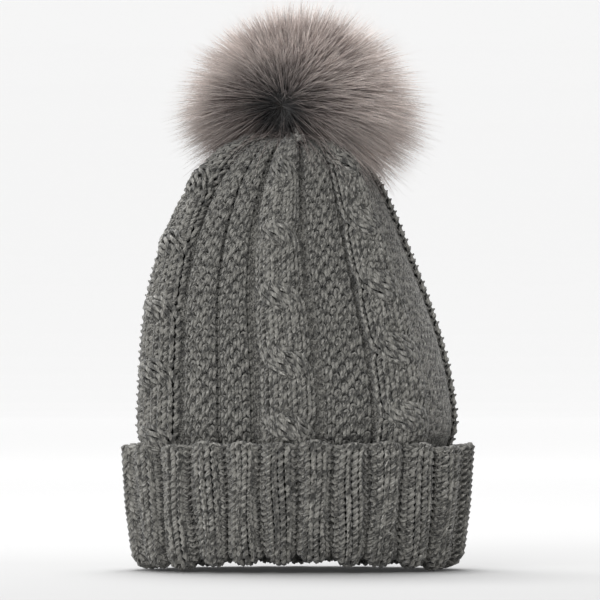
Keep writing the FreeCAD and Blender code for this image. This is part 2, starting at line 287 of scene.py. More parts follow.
dome_angle = np.linspace(0, np.arccos((GATHER_RADIUS / HALF_WIDTH) ** 1.5), TABLE_SIZE)
dome_share = np.sin(dome_angle) ** (4 / 3)
tube_height = np.linspace(-0.01, SHOULDER_HEIGHT, 200)[:-1]
tube_narrowing = RIM_NARROWING * (1 - tube_height / SHOULDER_HEIGHT)
knit_height = np.concatenate([tube_height, SHOULDER_HEIGHT + dome_share * CROWN_RISE])
dome_width = HALF_WIDTH * np.cos(dome_angle) ** (2 / 3)
dome_depth = dome_width * (0.6 + 0.4 * dome_share ** 4)
knit_width = np.concatenate([HALF_WIDTH - tube_narrowing, dome_width])
knit_depth = np.concatenate([HALF_DEPTH - tube_narrowing, dome_depth])
knit_middle = np.concatenate([0 * tube_height, -CROWN_LEAN * np.sin(np.pi * dome_share / 1.3) ** 2])
knit_step = np.hypot(np.diff(knit_height), np.diff((knit_width + knit_depth) / 2))
knit_length = np.concatenate([[0], np.cumsum(knit_step)]) + tube_height[0]
TOP_LENGTH = knit_length[-1]


def knit_surface(arc, length, out):
    """Point of the knitted tube and the direction square to it. arc runs round the shoulder's oval from the
    centre front, length up the knit from the rim; the oval at that length has the crown's half width, half
    depth and middle, and out is measured square to the surface."""
    turn = np.interp(arc % ROUND, oval_arc, oval_turn)
    width = np.interp(length, knit_length, knit_width)
    depth = np.interp(length, knit_length, knit_depth)
    middle = np.interp(length, knit_length, knit_middle)
    height = np.interp(length, knit_length, knit_height)
    slope_width = np.interp(length, knit_length, np.gradient(knit_width, knit_height))
    slope_depth = np.interp(length, knit_length, np.gradient(knit_depth, knit_height))
    slope_middle = np.interp(length, knit_length, np.gradient(knit_middle, knit_height))
    sine, cosine = np.sin(turn), np.cos(turn)
    rise = -(sine ** 2 * slope_width / width + cosine ** 2 * slope_depth / depth
             + sine * slope_middle / width)
    outward = np.stack([sine / width, -cosine / depth, rise], -1)
    outward /= np.linalg.norm(outward, axis=-1, keepdims=True)
    point = np.stack([middle + width * sine, -depth * cosine, height], -1)
    return point + outward * out[..., None], outward, width / HALF_WIDTH


ROW = 0.0043
LOOP_STEPS = 10
LOOP_REACH = 0.90
CABLE_LEAN = 0.21
MOSS_LEAN = 0.13
PURL_LEAN = 0.24
MOSS_DEPTH = 1.35
PURL_DEPTH = 0.55
SIDE_DEPTH = 0.22
WIDE_PANEL = 8
WIDE_FULLNESS = 1.25
YARN_FULLNESS = {"moss": 0.90, "purl": 0.92}
CABLE_FULLNESS = 1.08
LOOP_DEPTH = 0.00125
LOOP_OVERLAP = 0.00095
LEG_SWELL = 0.30
HEAD_SHARE = 0.125
YARN_RADIUS = 0.00116


def yarn_course(edges, rows, knitted, lean):
    """Yarn of each row across the columns. In a stitch of width w the yarn runs along by w times
    (t + lean sin 4 pi t), up by minus reach cos 2 pi t rows, and out by overlap cos 2 pi t minus depth
    cos 4 pi t: its legs stand forward where knitted is 1, each over the top of the one below, and its head
    and feet where it is -1. Heads follow the stitch above. Returns the place across, the row, the height
    out and the swelling of the legs, each (rows, points)."""
    count = len(edges) - 1
    step = np.arange(count * LOOP_STEPS + 1)
    column = np.minimum(step // LOOP_STEPS, count - 1)
    part = step / LOOP_STEPS - column
    across = edges[column] + np.diff(edges)[column] * (part + lean * np.sin(4 * np.pi * part))
    up = rows[:, None] - LOOP_REACH * np.cos(2 * np.pi * part)
    own = knitted(column[None], rows[:, None])
    above = knitted(column[None], rows[:, None] + 1)
    neighbour = np.clip(np.where(part < 0.5, column - 1, column + 1), 0, count - 1)
    beside = knitted(neighbour[None], rows[:, None])
    share = np.clip(np.minimum(part, 1 - part) / HEAD_SHARE, 0, 1)
    foot = own * (0.5 + 0.5 * share) + beside * (0.5 - 0.5 * share)
    face = np.where(np.abs(part - 0.5) <= HEAD_SHARE, above, foot)
    out = (LOOP_OVERLAP * np.cos(2 * np.pi * part) - LOOP_DEPTH * np.cos(4 * np.pi * part)) * face
    swell = np.broadcast_to(1 - LEG_SWELL * np.cos(4 * np.pi * part), up.shape)
    return np.broadcast_to(across, up.shape), up, out, swell


CHART = [
    ("centre_cable", "cable", 6, 0.0324), ("centre_right_channel", "purl", 2, 0.0072),
    ("right_moss", "moss", 6, 0.0260), ("right_groove", "purl", 1, 0.0035),
    ("right_cable", "cable", 6, 0.0350), ("right_side", "purl", 10, 0.0437),
    ("back_right_moss", "moss", 4, 0.0173), ("back_right_groove", "purl", 1, 0.0035),
    ("back_right_cable", "cable", 6, 0.0345), ("back_right_channel", "purl", 2, 0.0072),
    ("back_moss_b", "moss", 4, 0.0175), ("back_groove_b", "purl", 1, 0.0035),
    ("back_moss_a", "moss", 7, 0.0304), ("seam_edge_right", "purl", 1, 0.0025),
    ("seam_edge_left", "purl", 1, 0.0025), ("back_moss_c", "moss", 7, 0.0304),
    ("back_groove_c", "purl", 1, 0.0035), ("back_moss_d", "moss", 4, 0.0175),
    ("back_left_channel", "purl", 2, 0.0072), ("back_left_cable", "cable", 6, 0.0345),
    ("back_left_groove", "purl", 1, 0.0035), ("back_left_moss", "moss", 6, 0.0260),
    ("left_side", "purl", 2, 0.0075), ("left_cable", "cable", 6, 0.0348),
    ("left_edge", "purl", 1, 0.0050), ("outer_left_moss", "moss", 5, 0.0204),
    ("left_groove", "purl", 1, 0.0035), ("left_moss", "moss", 4, 0.0175),
    ("centre_left_channel", "purl", 2, 0.0072),
]
FIRST_ARC = -0.0216
FIRST_LENGTH = 0.067
CROSSING_ROWS = 9.0
CROSSING_SPAN = 4.8
CABLE_PROUD = 0.0026
STRAND_ROUND = 0.0014
LOBE_ROUND = 0.0040
CROSSING_DEPTH = 0.0026
MOSS_DOME = 0.0016
PURL_SINK = 0.0034
UNDER_CABLE = 0.0036
FULL_RELIEF_WIDTH = 0.45
DRAWN_IN = 0.0018
WAIST = 0.0030
WAIST_MIDDLE = 0.215
WAIST_SPAN = 0.05
TUCK_UNDER_CUFF = 0.0025
TUCK_FROM = 0.084
TUCK_SPAN = 0.010

row_numbers = np.arange(int((TOP_LENGTH - 0.004 - FIRST_LENGTH) / ROW))


def relief_at(kind, across, width):
    """How far a panel stands out: moss bands softly domed, purl sunk between them and under the cables."""
    share = np.clip(across / width, 0, 1)
    if kind == "moss":
        return MOSS_DOME * np.sin(np.pi * share) ** 0.7
    return -PURL_SINK * (0.5 + 0.5 * np.sin(np.pi * share) ** 0.5)


def waist_at(length):
    """How far the crown is drawn in below the gather: a bell curve of the length up the knit."""
    return WAIST * np.exp(-((length - WAIST_MIDDLE) / WAIST_SPAN) ** 2)


def settle(arc, up, out, scale):
    """Carries worked yarn on to the crown: rows lie along the knit, and small slow waves loosen them."""
    length = FIRST_LENGTH + ROW * up
    length = length + 0.0005 * np.sin(arc * 71 + up * 0.9) + 0.0004 * np.sin(arc * 173 - up * 1.7)
    length = np.clip(length, 0.0, TOP_LENGTH - 0.002)
    out = out - TUCK_UNDER_CUFF * np.clip((TUCK_FROM - length) / TUCK_SPAN, 0, 1)
    narrow = knit_surface(arc, length, out)[2]
    out = out * np.clip(narrow / FULL_RELIEF_WIDTH, 0.25, 1) - DRAWN_IN - waist_at(length)
    point, outward, narrow = knit_surface(arc, length, out)
    radius = YARN_RADIUS * np.clip(0.45 + 0.55 * narrow, 0.4, 1) * scale
    return point, radius, outward


stitch_rule = {"cable": lambda column, row: 1.0 + 0 * column * row,
               "moss": lambda column, row: 1.0 - 2.0 * ((column + row) % 2),
               "purl": lambda column, row: -1.0 + 0 * column * row}
stitch_lean = {"cable": CABLE_LEAN, "moss": MOSS_LEAN, "purl": PURL_LEAN}
arc_start = FIRST_ARC
crossing_start = {"centre_cable": 4.7, "right_cable": 6.2, "left_cable": 3.0, "back_right_cable": 5.0,
                  "back_left_cable": 4.0}
for place_in_chart, (name, kind, count, width) in enumerate(CHART):
    before = CHART[place_in_chart - 1][1]
    after = CHART[(place_in_chart + 1) % len(CHART)][1]
    paths, radii, outwards = [], [], []
    if kind == "cable":
        for strand in (0, 1):
            edges = np.linspace(-width / 4, width / 4, 4)
            across, up, out, swell = yarn_course(edges, row_numbers, stitch_rule[kind], stitch_lean[kind])
            turn_at = (up - crossing_start[name]) / CROSSING_ROWS
            whole = np.floor(turn_at + 0.5)
            ease = np.clip((turn_at - whole) * CROSSING_ROWS / CROSSING_SPAN + 0.5, 0, 1)
            phase = np.pi * (whole + ease - 0.5 * np.sin(2 * np.pi * ease) / np.pi * 0.6 + strand)
            middle = -np.cos(phase) * width / 4
            over = -np.sin(phase)
            slope = np.sin(phase) * width / 4 * np.pi / (CROSSING_SPAN * ROW)
            squeeze = 1 - 0.12 * np.abs(over)
            bulge = (STRAND_ROUND * (1 - (across / (width / 4)) ** 2 * 1.5)
                     + LOBE_ROUND * (1 - ((middle + across) / (width / 2)) ** 2 * 1.4))
            arc = arc_start + width / 2 + middle + across * squeeze
            leaned = up - 0.6 * slope * across / ROW
            height = out + CABLE_PROUD + bulge + CROSSING_DEPTH * over - 0.001
            point, radius, outward = settle(arc, leaned, height, CABLE_FULLNESS * swell)
            paths.append(point)
            radii.append(radius)
            outwards.append(outward)
    else:
        edges = np.linspace(0, width, count + 1)
        if kind == "purl" and before == "cable":
            edges = np.concatenate([[-UNDER_CABLE], edges])
        if kind == "purl" and after == "cable":
            edges = np.concatenate([edges, [width + UNDER_CABLE]])
        across, up, out, swell = yarn_course(edges, row_numbers, stitch_rule[kind], stitch_lean[kind])
        wide = count >= WIDE_PANEL
        depth = MOSS_DEPTH if kind == "moss" else SIDE_DEPTH if wide else PURL_DEPTH
        fullness = YARN_FULLNESS[kind] * (WIDE_FULLNESS if wide else 1.0)
        height = out * depth + relief_at(kind, across, width)
        point, radius, outward = settle(arc_start + across, up, height, fullness * swell)
        paths.append(point)
        radii.append(radius)
        outwards.append(outward)
    add_yarns("crown_" + name, paths, radii, outwards, knit_yarn, "hat",
                                  slot="knit_yarn")
    arc_start += width


# --- Cuff --------------------------------------------------------------------------------------------
# The tube's lower end turned up outside: two-by-two rib in the same yarn, 23 ribs round. It was worked
# from the edge that is now on top, down the outside, round the fold, and up inside to the crown.
RIBS = 23
FIRST_RIB_MIDDLE = -0.0111
RIB_SHARES = (0.32, 0.32, 0.18, 0.18)
CUFF_ROW = 0.0041
CUFF_TOP = 0.0775
CUFF_OUT = 0.0071
CUFF_INSIDE_OUT = -0.0035
FOLD_MIDDLE_HEIGHT = 0.0135
FOLD_DROP = 0.0078
INSIDE_REACH = 0.022
RIB_ROUND = 0.0024
VALLEY_DEPTH = 0.0048
RIM_ARCH = 0.0050
RIM_DRAW_IN = 0.0026
EDGE_SAG = 0.0030
EDGE_LUMPS = 0.0012
CUFF_YARN_RADIUS = 0.00132
EDGE_YARN_RADIUS = 0.00125
CUFF_LEAN = 0.215

fold_turn = np.linspace(0, np.pi, 60)[1:-1]
fold_height = np.concatenate([np.linspace(CUFF_TOP, FOLD_MIDDLE_HEIGHT, 60),
                              FOLD_MIDDLE_HEIGHT - FOLD_DROP * np.sin(fold_turn),
                              np.linspace(FOLD_MIDDLE_HEIGHT, FOLD_MIDDLE_HEIGHT + INSIDE_REACH, 30)])
fold_centre = (CUFF_OUT + CUFF_INSIDE_OUT) / 2
fold_half = (CUFF_OUT - CUFF_INSIDE_OUT) / 2
fold_out = np.concatenate([np.full(60, CUFF_OUT), fold_centre + fold_half * np.cos(fold_turn),
                           np.full(30, CUFF_INSIDE_OUT)])
fold_length = np.concatenate([[0], np.cumsum(np.hypot(np.diff(fold_height), np.diff(fold_out)))])
fold_facing_out = -np.gradient(fold_height, fold_length)
fold_facing_up = np.gradient(fold_out, fold_length)
CUFF_LENGTH = fold_length[-1]


def cuff_surface(arc, length, out):
    """Point of the turned-up cuff and the direction square to it. length runs from the top edge down the
    outside, round a half oval at the fold and up inside; out is square to that line. The fold is arched a
    little at the middle of the front and back, and the top edge sags at the sides."""
    height = np.interp(length, fold_length, fold_height)
    face_out = np.interp(length, fold_length, fold_facing_out)
    face_up = np.interp(length, fold_length, fold_facing_up)
    stand = np.interp(length, fold_length, fold_out) + out * face_out
    stand = stand - RIM_DRAW_IN * np.clip(1 - height / 0.04, 0, 1)
    wander = 0.0010 * np.sin(length * 55 + arc * 2 * np.pi / ROUND * 11) * np.clip(length / 0.02, 0, 1)
    point, outward, narrow = knit_surface(arc + wander, np.clip(height, 0.001, 1), stand)
    middle_share = 0.5 + 0.5 * np.cos(4 * np.pi * arc / ROUND)
    front_share = 0.65 + 0.35 * np.cos(2 * np.pi * arc / ROUND)
    arch = RIM_ARCH * front_share * middle_share ** 1.4 * np.clip(1 - height / 0.05, 0, 1) ** 1.3
    sag = EDGE_SAG * (1 - middle_share) ** 2 * np.clip((height - 0.03) / 0.048, 0, 1)
    rib_turn = 2 * np.pi * (arc - FIRST_RIB_MIDDLE) * RIBS / ROUND
    lumps = EDGE_LUMPS * np.cos(rib_turn) * np.clip((height - 0.058) / 0.02, 0, 1)
    waves = (lumps + 0.0006 * np.sin(arc * 2 * np.pi / ROUND * 9 + 1.0)
             + 0.0005 * np.sin(arc * 2 * np.pi / ROUND * 14))
    point[..., 2] += out * face_up + arch - sag + waves
    square = outward * face_out[..., None]
    square[..., 2] += face_up
    return point, square / np.linalg.norm(square, axis=-1, keepdims=True)


def rib_relief(arc):
    """A rib stands out as a low arch across its two knit columns: the 0.55 power of the cosine of its
    share, held at nought. The two purl columns sink to a valley."""
    share = ((arc - FIRST_RIB_MIDDLE) / (ROUND / RIBS) + 0.5) % 1 - 0.5
    return -VALLEY_DEPTH + (VALLEY_DEPTH + RIB_ROUND) * np.clip(np.cos(np.pi * share * 1.15), 0, 1) ** 0.55


cuff_rows = np.arange(int(CUFF_LENGTH / CUFF_ROW))
rib_width = ROUND / RIBS
rib_edges = np.concatenate([[0], np.cumsum(RIB_SHARES)])
rib_rule = lambda column, row: np.where(column % 4 < 2, 1.0, -1.0) + 0 * row
for quarter, (first, last) in enumerate(((0, 6), (6, 12), (12, 18), (18, 23))):
    edges = np.concatenate([rib_edges[:-1] + rib for rib in range(first, last)] + [[last]]) * rib_width
    across, up, out, swell = yarn_course(edges, cuff_rows, rib_rule, CUFF_LEAN)
    arc = FIRST_RIB_MIDDLE - RIB_SHARES[0] * rib_width + across
    length = CUFF_ROW * (up + 0.55) + 0.0004 * np.sin(arc * 131 + up * 1.3)
    point, outward = cuff_surface(arc, np.clip(length, 0, CUFF_LENGTH), out * 1.15 + rib_relief(arc))
    radius = CUFF_YARN_RADIUS * swell
    add_yarns("cuff_rib_" + "abcd"[quarter], [point], [radius], [outward], knit_yarn,
                                "hat", slot="knit_yarn")

edge_arc = np.linspace(0, ROUND, RIBS * 4 * 10 + 1)
edge_paths, edge_outwards = [], []
for start in (0, np.pi):
    turn = edge_arc / ROUND * 2 * np.pi * RIBS * 2 + start
    point, outward = cuff_surface(edge_arc, 0.0012 + 0.0011 * np.cos(turn),
                                  rib_relief(edge_arc) - 0.0004 + 0.0012 * np.sin(turn))
    edge_paths.append(point)
    edge_outwards.append(outward)
add_yarns("cuff_cast_on_edge", [np.stack(edge_paths)],
                            [np.full((2, len(edge_arc)), EDGE_YARN_RADIUS)], [np.stack(edge_outwards)],
                            knit_yarn, "hat", slot="knit_yarn")

# --- Fabric behind the loops -------------------------------------------------------------------------
# What lies behind the front legs: the same yarn, packed and in shadow, its shadow painted into dark
# colours far below the yarn's own. Inside the hat it shows the knit's reverse, as rows of short bumps.
SHADOW_DARK = (0.012, 0.012, 0.011)
SHADOW_LIGHT = (0.06, 0.058, 0.053)


def mottled(name, roughness, sheen, dark, light, lumps, depth, span=None, relief=None):
    """A matt material mottled from dark to light by noise of (lumps per metre, detail), spread over a span
    where one is given, with bump of a depth from the same noise or from a relief noise of its own."""
    material, tree, shader, place = new_material(name, roughness, sheen)
    mottle = noise(tree, place, *lumps)
    height = noise(tree, place, *relief) if relief else mottle
    if span:
        mottle = ramp(tree, mottle, *span)
    tree.links.new(srgb_mix(tree, "MIX", mottle, dark, light), shader.inputs["Base Color"])
    bump(tree, shader, height, depth)
    return material


shadow_yarn = mottled("yarn_in_shadow", 1.0, 0.0, SHADOW_DARK, SHADOW_LIGHT, (700, 4), 0.0008,
                      relief=(900, 3))
inside_yarn = mottled("reverse_of_the_knit", 0.95, 0.3, YARN_DARK, YARN_LIGHT, (170, 4), 0.0006,
                      span=(0.3, 0.7), relief=(1300, 3))


def shell_faces(rings, sides):
    """Faces of a tube of rings closed in both directions, so that it is a wall with an inside and an
    outside."""
    ring, side = np.meshgrid(np.arange(rings), np.arange(sides), indexing="ij")
    after = (side + 1) % sides
    above = (ring + 1) % rings
    faces = np.stack([ring * sides + side, ring * sides + after,
                      above * sides + after, above * sides + side], -1)
    bake = np.stack([np.stack([side, side + 1, side + 1, side], -1) / sides,
                     np.stack([ring, ring, ring + 1, ring + 1], -1) / rings], -1)
    return faces.reshape(-1, 4), (0.002 + 0.996 * bake).reshape(-1, 2)


GROUND_OUT = -0.0018
INSIDE_OUT = -0.0062
BUMP_HEIGHT = 0.0006
INSIDE_WALE = 0.0046
GROUND_SIDES = 360
GROUND_RINGS = 60
INSIDE_RINGS = 190
CUFF_GROUND_SIDES = RIBS * 16
ground_arc = np.linspace(0, ROUND, GROUND_SIDES, endpoint=False)[None]
ground_length = np.linspace(0.012, TOP_LENGTH - 0.001, GROUND_RINGS)[:, None]
inside_length = np.linspace(TOP_LENGTH - 0.001, 0.012, INSIDE_RINGS)[:, None]
panel_width = [width for name, kind, count, width in CHART]
chart_start = FIRST_ARC + np.concatenate([[0], np.cumsum(panel_width)])
panel = np.searchsorted(chart_start, (ground_arc - FIRST_ARC) % ROUND + FIRST_ARC, side="right") - 1
sunk = np.array([kind != "moss" for name, kind, count, width in CHART] + [True])[panel] * 1.0
sunk = (sunk + np.roll(sunk, 1) + np.roll(sunk, -1)) / 3
outer_wall = knit_surface(ground_arc + 0 * ground_length, ground_length + 0 * ground_arc,
                          GROUND_OUT - DRAWN_IN * 0.6 - waist_at(ground_length) - PURL_SINK * sunk)[0]
wale = np.sin(2 * np.pi * ground_arc / INSIDE_WALE)
bumps = BUMP_HEIGHT * np.cos(2 * np.pi * inside_length / ROW + np.pi * wale * 0.5)
inner_wall = knit_surface(ground_arc + 0 * inside_length, inside_length + 0 * ground_arc,
                          INSIDE_OUT + bumps - waist_at(inside_length))[0]
shell = np.concatenate([outer_wall, inner_wall])
faces, bake = shell_faces(len(shell), GROUND_SIDES)
crown_lining = add_piece("crown_knit_reverse", shell.reshape(-1, 3), [faces], inside_yarn, "hat",
                         replaces=("crown_knit",), slot="knit_yarn")
crown_lining.data.materials.append(shadow_yarn)
shadowed = np.zeros(len(faces), np.int32)
shadowed[:GROUND_RINGS * GROUND_SIDES] = 1
crown_lining.data.polygons.foreach_set("material_index", shadowed)
add_map(crown_lining, "OFBake", bake)

cuff_arc = np.linspace(0, ROUND, CUFF_GROUND_SIDES, endpoint=False)[None]
cuff_down = np.linspace(0.002, CUFF_LENGTH - 0.001, 90)[:, None]
outer_wall = cuff_surface(cuff_arc + 0 * cuff_down, cuff_down + 0 * cuff_arc,
                          rib_relief(cuff_arc) - 0.0019 + 0 * cuff_down)[0]
inner_wall = cuff_surface(cuff_arc + 0 * cuff_down, cuff_down[::-1] + 0 * cuff_arc,
                          rib_relief(cuff_arc) * 0.5 - 0.0050 + 0 * cuff_down)[0]
shell = np.concatenate([outer_wall, inner_wall])[::-1]
faces, bake = shell_faces(len(shell), CUFF_GROUND_SIDES)
cuff_ground = add_piece("cuff_knit_ground", shell.reshape(-1, 3), [faces], shadow_yarn, "hat",
                        replaces=("cuff_knit",), slot="knit_yarn")
add_map(cuff_ground, "OFBake", bake)

# --- Fur pile ----------------------------------------------------------------------------------------
# Long faux fur on a knitted backing, gathered into a ball: a short dense under coat, a middle coat and
# fine guard hairs, near black at the root, taupe in the middle and pale at the tip. The gathering pulls
# it apart low on the front, where its dark roots show, and the hairs near that parting are painted
# darker all along as painted shade.
BALL_MIDDLE = np.array([-0.0033, 0, 0.2872])
BALL_SIZE = np.array([0.0225, 0.0225, 0.0195])
PILE_MIDDLE = np.array([0.0036, 0.0, 0.2708])
PILE_SHAPE = np.array([1.12, 1.02, 1.01])
PILE_REACH = 0.0705
HAIRS = 27000
HAIR_STEPS = 4
CLUMPS = 1500
PARTING = np.array([-0.28, -0.80, -0.46])
PARTING_SPREAD = 1.12
PARTING_WIDTH = 1.25
WHORL_MUDDLE = 0.24
LOWEST_HEADING = -0.085
UNDER_COAT_HEADING = -0.36
UNDER_COAT_SHARE = 0.30
MIDDLE_COAT_SHARE = 0.86
HAIR_WAVE = 0.0035
HAIR_DROOP = 0.0030
CROWN_LIFT = 0.0028
NECK_LIFT = 0.2645
HIGHEST_LIFT = 0.268
FUR_ROOT = (0.018, 0.014, 0.013)
FUR_MIDDLE = (0.38, 0.302, 0.274)
FUR_TIP = (0.86, 0.76, 0.71)

fur_seed = np.random.default_rng(7)


def spread_directions(count, seed):
    """Directions spread evenly over a sphere: heights in equal steps and turns by the golden angle, both
    jittered."""
    height = 1 - 2 * (np.arange(count) + seed.random(count)) / count
    turn = np.arange(count) * np.pi * (3 - np.sqrt(5)) + seed.normal(0, 0.3, count)
    level = np.sqrt(1 - height ** 2)
    return np.stack([level * np.cos(turn), level * np.sin(turn), height], -1)


def reach_of(root, direction, share):
    """Length from a root along a direction to a ball about the pile's middle, of share times its reach."""
    away = (root - PILE_MIDDLE) / PILE_SHAPE
    squashed = direction / PILE_SHAPE
    size = (squashed ** 2).sum(-1)
    along = (away * squashed).sum(-1) / size
    inside = along ** 2 - ((away ** 2).sum(-1) - (PILE_REACH * share) ** 2) / size
    return -along + np.sqrt(np.clip(inside, 0, None))


def unit(vectors):
    """The vectors at length one."""
    return vectors / (np.linalg.norm(vectors, axis=-1, keepdims=True) + 1e-12)


parting = unit(PARTING)
place = spread_directions(HAIRS, fur_seed)
root = BALL_MIDDLE + place * BALL_SIZE
nearness = np.clip((place * parting).sum(-1), -1, 1)
gap = np.arccos(nearness)
away = unit(place - parting * nearness[:, None])
swing = PARTING_SPREAD * np.exp(-(gap / PARTING_WIDTH) ** 2)
heading = unit(place * np.cos(swing)[:, None] + away * np.sin(swing)[:, None])
muddle = 0.075 + WHORL_MUDDLE * np.exp(-(gap / 0.55) ** 2)
heading = unit(heading + muddle[:, None] * fur_seed.normal(0, 1, heading.shape))
coat = fur_seed.random(HAIRS)
in_under_coat = coat < UNDER_COAT_SHARE
in_middle_coat = coat < MIDDLE_COAT_SHARE
lowest_heading = np.where(in_under_coat, UNDER_COAT_HEADING, LOWEST_HEADING)
lifted = lowest_heading + 0.25 * (heading[:, 2] - lowest_heading)
heading[:, 2] = np.where(heading[:, 2] < lowest_heading, lifted, heading[:, 2])
heading = unit(heading)
under_share = fur_seed.uniform(0.55, 0.80, HAIRS)
middle_share = fur_seed.uniform(0.82, 1.0, HAIRS)
guard_share = fur_seed.uniform(0.98, 1.10, HAIRS)
share = np.where(in_under_coat, under_share, np.where(in_middle_coat, middle_share, guard_share))
length = reach_of(root, heading, share)

clump = spread_directions(CLUMPS, fur_seed)
nearest = np.concatenate([np.argmax(part @ clump.T, axis=1) for part in np.array_split(place, 12)])
clump_place = clump[nearest]
clump_near = np.clip((clump_place * parting).sum(-1), -1, 1)
clump_away = unit(clump_place - parting * clump_near[:, None])
clump_swing = PARTING_SPREAD * np.exp(-(np.arccos(clump_near) / PARTING_WIDTH) ** 2)
clump_heading = unit(clump_place * np.cos(clump_swing)[:, None] + clump_away * np.sin(clump_swing)[:, None]
                     + fur_seed.normal(0, 0.14, (CLUMPS, 3))[nearest])
clump_heading[:, 2] = np.maximum(clump_heading[:, 2], heading[:, 2] - 0.15)
gather = (0.50 * fur_seed.random(CLUMPS)[nearest] + 0.08)[:, None]

step = np.linspace(0, 1, HAIR_STEPS + 1)
grown = (length[:, None] * step)[..., None]
hair = root[:, None] + heading[:, None] * grown
clump_root = BALL_MIDDLE + clump_place * BALL_SIZE
clump_line = clump_root[:, None] + clump_heading[:, None] * grown
hair = hair + (clump_line - hair) * (gather * step ** 1.3)[..., None]
sideways = unit(np.cross(heading, fur_seed.normal(0, 1, heading.shape)))
hair = hair + sideways[:, None] * (HAIR_WAVE * fur_seed.normal(0, 1, HAIRS)[:, None] * step ** 2)[..., None]
droop = HAIR_DROOP * step ** 2 * (1 - heading[:, 2:3] ** 2)
hair[..., 2] -= droop

for lift_pass in range(3):
    across = hair[..., 0] - np.interp(hair[..., 2], knit_height, knit_middle)
    ratio = np.interp(hair[..., 2], knit_height, knit_width / knit_depth)
    spread = np.hypot(across, hair[..., 1] * ratio)
    lowest = np.interp(spread, knit_width[::-1][:TABLE_SIZE], knit_height[::-1][:TABLE_SIZE]) + CROWN_LIFT
    lowest = np.where(spread < 0.010, NECK_LIFT, lowest)
    hair[..., 2] = np.maximum(hair[..., 2], np.minimum(lowest, HIGHEST_LIFT))

thickness = np.where(in_under_coat, 0.00025, np.where(in_middle_coat, 0.00018, 0.00011))
taper = np.array([0.9, 1.0, 0.85, 0.55, 0.12])
hair_radius = thickness[:, None] * taper
hair_out = unit(np.cross(np.cross(heading, sideways), heading))
rings = tube_rings(hair, hair_radius, np.repeat(hair_out[:, None], HAIR_STEPS + 1, 1), 3)
polygons, along, around, which, first_rim, last_rim, tubes = tube_faces(HAIRS, HAIR_STEPS + 1, 3)

faux_fur, fur_tree, fur_shader, fur_place = new_material("taupe_faux_fur", 0.62, sheen=0.25)
stage_node = fur_tree.nodes.new("ShaderNodeAttribute")
stage_node.attribute_name = "hair_stage"
tone_with_shade_node = fur_tree.nodes.new("ShaderNodeAttribute")
tone_with_shade_node.attribute_name = "hair_tone_with_parting_shade"
stage_value = math(fur_tree, "ADD", stage_node.outputs["Fac"],
                   ramp(fur_tree, noise(fur_tree, fur_place, 45, 2), 0.2, 0.8, -0.10, 0.10))
fur_colour = srgb_mix(fur_tree, "MIX", ramp(fur_tree, stage_value, 0.17, 0.60), FUR_ROOT, FUR_MIDDLE)
fur_colour = srgb_mix(fur_tree, "MIX", ramp(fur_tree, stage_value, 0.48, 0.84), fur_colour, FUR_TIP)
# The tone attribute holds each hair's own tone and the painted shade near the parting.
fur_colour = srgb_mix(fur_tree, "MULTIPLY", 1.0, fur_colour, tone_with_shade_node.outputs["Color"])
fur_tree.links.new(fur_colour, fur_shader.inputs["Base Color"])

fur_pile = add_piece("pom_fur", rings.reshape(-1, 3), polygons, faux_fur, "pom", replaces=("pom_fur_pile",),
                     slot="faux_fur")
CELLS = int(np.ceil(np.sqrt(HAIRS)))


def hair_map(which, along, around):
    """Each hair has a cell of its own in a square of cells: round across it and along up it."""
    return np.stack([(which % CELLS + 0.08 + 0.84 * around) / CELLS,
                     (which // CELLS + 0.08 + 0.84 * along) / CELLS], -1)


def hair_cap_map(along, turn):
    """The caps of the hairs, each a small disc in its hair's cell."""
    return hair_map(tubes, along + 0.04 * np.tile(np.sin(turn), HAIRS),
                    0.5 + 0.3 * np.tile(np.cos(turn), HAIRS))


cap_turn = 2 * np.pi * np.arange(3) / 3
add_map(fur_pile, "OFBake", np.concatenate([hair_map(which, 0.1 + 0.8 * along / HAIR_STEPS, around / 3),
                                            hair_cap_map(0.045, cap_turn),
                                            hair_cap_map(0.955, cap_turn[::-1])]))
hair_stage = fur_pile.data.attributes.new("hair_stage", "FLOAT", "POINT")
stage_of = step[None] * (length / length.max() * 0.12 + 0.82)[:, None]
hair_stage.data.foreach_set("value", np.repeat(stage_of.ravel(), 3).astype(np.float32))
hair_tone_with_parting_shade = fur_pile.data.attributes.new("hair_tone_with_parting_shade", "FLOAT", "POINT")
hair_shade = 0.20 * fur_seed.normal(0, 1, HAIRS) * 0.6
clump_shade = 0.16 * fur_seed.normal(0, 1, CLUMPS)[nearest]
tone_with_parting_shade = np.clip(0.86 + hair_shade + clump_shade, 0.35, 1.3)
# Painted shade: hairs near the parting are darkened all along, standing in for the shade down in the
# parting.
tone_with_parting_shade = tone_with_parting_shade * (1 - 0.40 * np.exp(-(gap / 0.60) ** 2))
hair_tone_with_parting_shade.data.foreach_set("value", np.repeat(np.repeat(tone_with_parting_shade, HAIR_STEPS + 1), 3).astype(np.float32))

# --- Pom backing, stuffing and gathering thread ------------------------------------------------------
# The fur's own backing: a close-knit disc of cloth drawn into a ball round polyester stuffing by a
# running thread, with pleats fanning from its neck. The stuffing is hollowed under for the tie disc.
BACKING_WALL = 0.0013
BACKING_RADIUS = 0.0226
BACKING_HALF_HEIGHT = 0.0196
NECK_RADIUS = 0.0064
NECK_BOTTOM = 0.2668
BACKING_PLEATS = 18
PLEAT_DEPTH = 0.06
THREAD_RADIUS = 0.00045

BALL_SIDES = 108
FILL_SIDES = 96
THREAD_POINTS = 217

backing_cloth = mottled("close_knit_backing", 0.95, 0.2, (0.030, 0.025, 0.022), (0.085, 0.072, 0.064),
                        (1400, 2), 0.0004)


def turned(across, height, sides, pleats=0, depth=0.0):
    """Rings of a profile turned about the pom's axis, with pleats that are deepest at the neck."""
    turn = np.linspace(0, 2 * np.pi, sides, endpoint=False)
    fade = depth * np.exp(-np.abs(height - NECK_BOTTOM) / 0.010)[:, None]
    wide = across[:, None] * (1 + fade * np.cos(pleats * turn))
    return np.stack([BALL_MIDDLE[0] + wide * np.cos(turn), wide * np.sin(turn),
                     height[:, None] + 0 * wide], -1)


